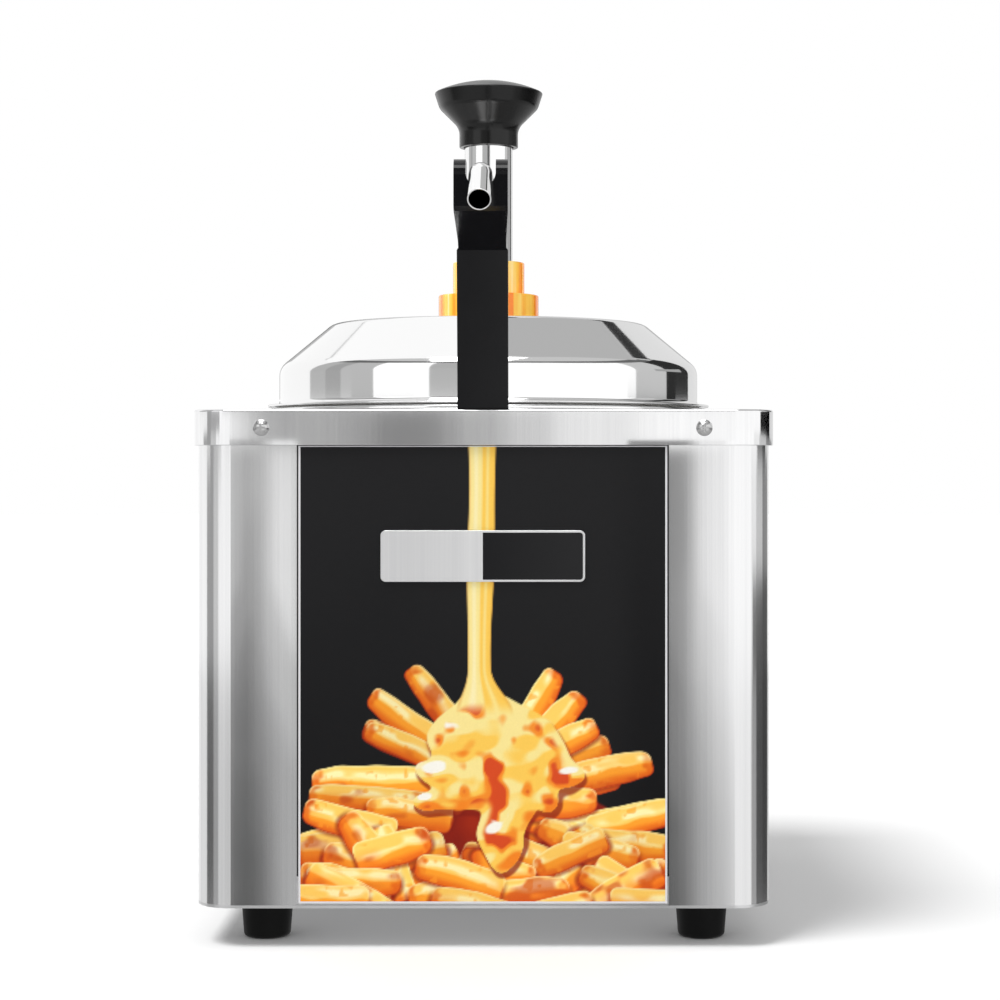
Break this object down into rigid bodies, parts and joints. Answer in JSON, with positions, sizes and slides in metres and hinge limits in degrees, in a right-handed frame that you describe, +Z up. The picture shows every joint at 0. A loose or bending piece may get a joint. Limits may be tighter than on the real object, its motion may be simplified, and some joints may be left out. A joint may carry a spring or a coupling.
{
  "type": "cheese dispenser",
  "caption": "Countertop nacho cheese dispenser: square steel heated cabinet with a printed front, domed lid, push-knob pump and a spout held by a black arm.",
  "frame": {"origin": "on the table, under the pump's axis and the middle of the square cabinet", "axes": "+X to the right seen from the front, +Y to the back, +Z up; the spout points to -Y"},
  "size_m": [0.2844, 0.3697, 0.4436],
  "materials": {
    "stainless": "satin",
    "polished_steel": "polished",
    "plain_steel": "satin",
    "fasteners": "polished",
    "printed_panel": "gloss",
    "badge": "satin",
    "black_gloss": "gloss",
    "black_plastic": "satin",
    "rubber": "matte",
    "amber_plastic": "gloss",
    "white_polymer": "satin",
    "element_sheath": "matte",
    "insulation": "matte",
    "control_body": "matte",
    "copper": "satin",
    "brass": "satin",
    "wire": "satin",
    "lamp": "gloss",
    "rocker_red": "gloss"
  },
  "bodies": {
    "base": {"body_shell": "stainless", "top_deck": "stainless", "bottom_tray": "stainless", "front_panel": "printed_panel", "panel_backing": "plain_steel", "badge_plate": "badge", "deck_screws": "fasteners", "deck_nuts": "fasteners", "foot_front_left": "rubber", "foot_front_right": "rubber", "foot_rear_left": "rubber", "foot_rear_right": "rubber", "foot_screws": "fasteners", "water_well": "plain_steel", "well_gasket": "rubber", "well_nuts": "fasteners", "heating_element": "element_sheath", "element_clamps": "fasteners", "insulation_jacket": "insulation", "thermostat_body": "control_body", "thermostat_bulb": "copper", "thermal_cutout": "control_body", "terminal_block": "white_polymer", "internal_wiring": "wire", "power_inlet": "black_plastic", "inlet_pins": "brass", "inlet_screws": "fasteners", "control_plate": "black_plastic", "switch_housing": "black_plastic", "indicator_lamp": "lamp", "spout_arm": "black_gloss", "arm_screws": "fasteners", "arm_gasket": "rubber", "earth_stud": "brass"},
    "pot": {"food_pot": "polished_steel"},
    "lid_unit": {"lid": "polished_steel", "lid_seal": "white_polymer", "lock_nut": "amber_plastic", "guide_bush": "amber_plastic", "pump_column": "polished_steel", "column_cap": "white_polymer", "spout_tube": "polished_steel", "spout_nut": "polished_steel", "pump_cylinder": "polished_steel", "valve_seat": "white_polymer", "valve_cage": "plain_steel", "clamp_nut": "plain_steel"},
    "plunger": {"knob": "black_gloss", "knob_insert": "brass", "plunger_rod": "plain_steel", "piston": "white_polymer", "piston_ring": "rubber", "piston_nut": "fasteners", "plunger_spring": "fasteners"},
    "ball": {"check_ball": "fasteners"},
    "dial": {"thermostat_dial": "black_plastic", "thermostat_shaft": "plain_steel"},
    "rocker": {"power_rocker": "rocker_red"}
  },
  "joints": [
    {"name": "pot_lift", "type": "slide", "parent": "base", "child": "pot", "axis": [0, 0, 1], "range_m": [0, 0.18]},
    {"name": "lid_lift", "type": "slide", "parent": "pot", "child": "lid_unit", "axis": [0, 0, 1], "range_m": [0, 0.18]},
    {"name": "plunger_press", "type": "slide", "parent": "lid_unit", "child": "plunger", "axis": [0, 0, -1], "range_m": [0, 0.02], "stiffness_N_per_m": 400, "springref_m": -0.015, "deforming": ["plunger_spring"]},
    {"name": "valve_ball_lift", "type": "slide", "parent": "lid_unit", "child": "ball", "axis": [0, 0, 1], "range_m": [0, 0.003]},
    {"name": "thermostat_turn", "type": "hinge", "parent": "base", "child": "dial", "pos_m": [0.038, 0.14, 0.092], "axis": [0, 1, 0], "range_deg": [0, 300]},
    {"name": "power_rocker_tip", "type": "hinge", "parent": "base", "child": "rocker", "pos_m": [-0.02, 0.1382, 0.092], "axis": [1, 0, 0], "range_deg": [-24, 0]}
  ]
}
